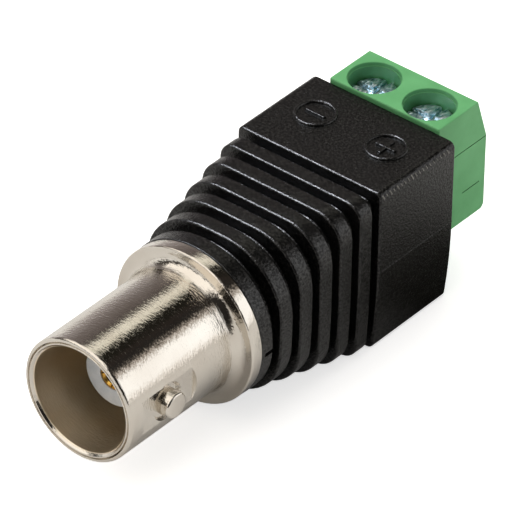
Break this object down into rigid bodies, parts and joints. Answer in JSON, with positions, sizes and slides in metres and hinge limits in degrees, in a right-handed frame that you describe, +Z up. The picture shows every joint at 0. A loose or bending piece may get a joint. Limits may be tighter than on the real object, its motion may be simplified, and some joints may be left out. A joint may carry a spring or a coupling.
{
  "type": "video balun",
  "caption": "Bayonet coaxial jack in a ribbed black sleeve that grows square, with a two-way green screw terminal for twisted pair wire at the other end.",
  "frame": {"origin": "on the floor, under the middle of the part's length and width", "axes": "+Y along the jack's axis from its mouth to the wires, +Z up out of the screws' side, +X to the plus side"},
  "size_m": [0.013, 0.0386, 0.0139],
  "materials": {
    "nickel_plate": "nickel plate, warm and glossy",
    "white_insulator": "moulded, pale grey white",
    "gilt_contact": "gold plate",
    "tinned_metal": "tin plate",
    "black_plastic": "moulded, fine grain, slight sheen",
    "green_plastic": "moulded polyamide, satin",
    "zinc_screw": "bright zinc plate, bluish",
    "zinc_cage": "zinc plate",
    "solder": "bright solder",
    "board": "glass laminate with green lacquer",
    "ferrite": "sintered ferrite, dark grey",
    "copper_wire": "enamelled copper"
  },
  "bodies": {
    "body": {"jack_shell": "nickel_plate", "jack_insulator": "white_insulator", "centre_contact": "gilt_contact", "ground_tag": "tinned_metal", "housing": "black_plastic", "terminal_body": "green_plastic", "minus_strip": "tinned_metal", "plus_strip": "tinned_metal", "minus_solder": "solder", "plus_solder": "solder", "contact_solder": "solder", "ground_solder": "solder", "lead_solder": "solder", "circuit_board": "board", "transformer_core": "ferrite", "primary_winding": "copper_wire", "secondary_winding": "copper_wire"},
    "minus_screw": {"minus_screw": "zinc_screw"},
    "plus_screw": {"plus_screw": "zinc_screw"},
    "minus_cage": {"minus_cage": "zinc_cage"},
    "plus_cage": {"plus_cage": "zinc_cage"}
  },
  "joints": [
    {"name": "minus_screw_turn", "type": "hinge", "parent": "body", "child": "minus_screw", "pos_m": [-0.0025, 0.01573, 0.01285], "axis": [0, 0, 1], "range_deg": [-1575, 0]},
    {"name": "minus_cage_lift", "type": "slide", "parent": "body", "child": "minus_cage", "axis": [0, 0, 1], "range_m": [0, 0.00175]},
    {"name": "plus_screw_turn", "type": "hinge", "parent": "body", "child": "plus_screw", "pos_m": [0.0025, 0.01573, 0.01285], "axis": [0, 0, 1], "range_deg": [-1575, 0]},
    {"name": "plus_cage_lift", "type": "slide", "parent": "body", "child": "plus_cage", "axis": [0, 0, 1], "range_m": [0, 0.00175]}
  ],
  "couplings": [
    {"joint": "minus_screw_turn", "follows": "minus_cage_lift", "rad_per_m": -15708},
    {"joint": "plus_screw_turn", "follows": "plus_cage_lift", "rad_per_m": -15708}
  ]
}
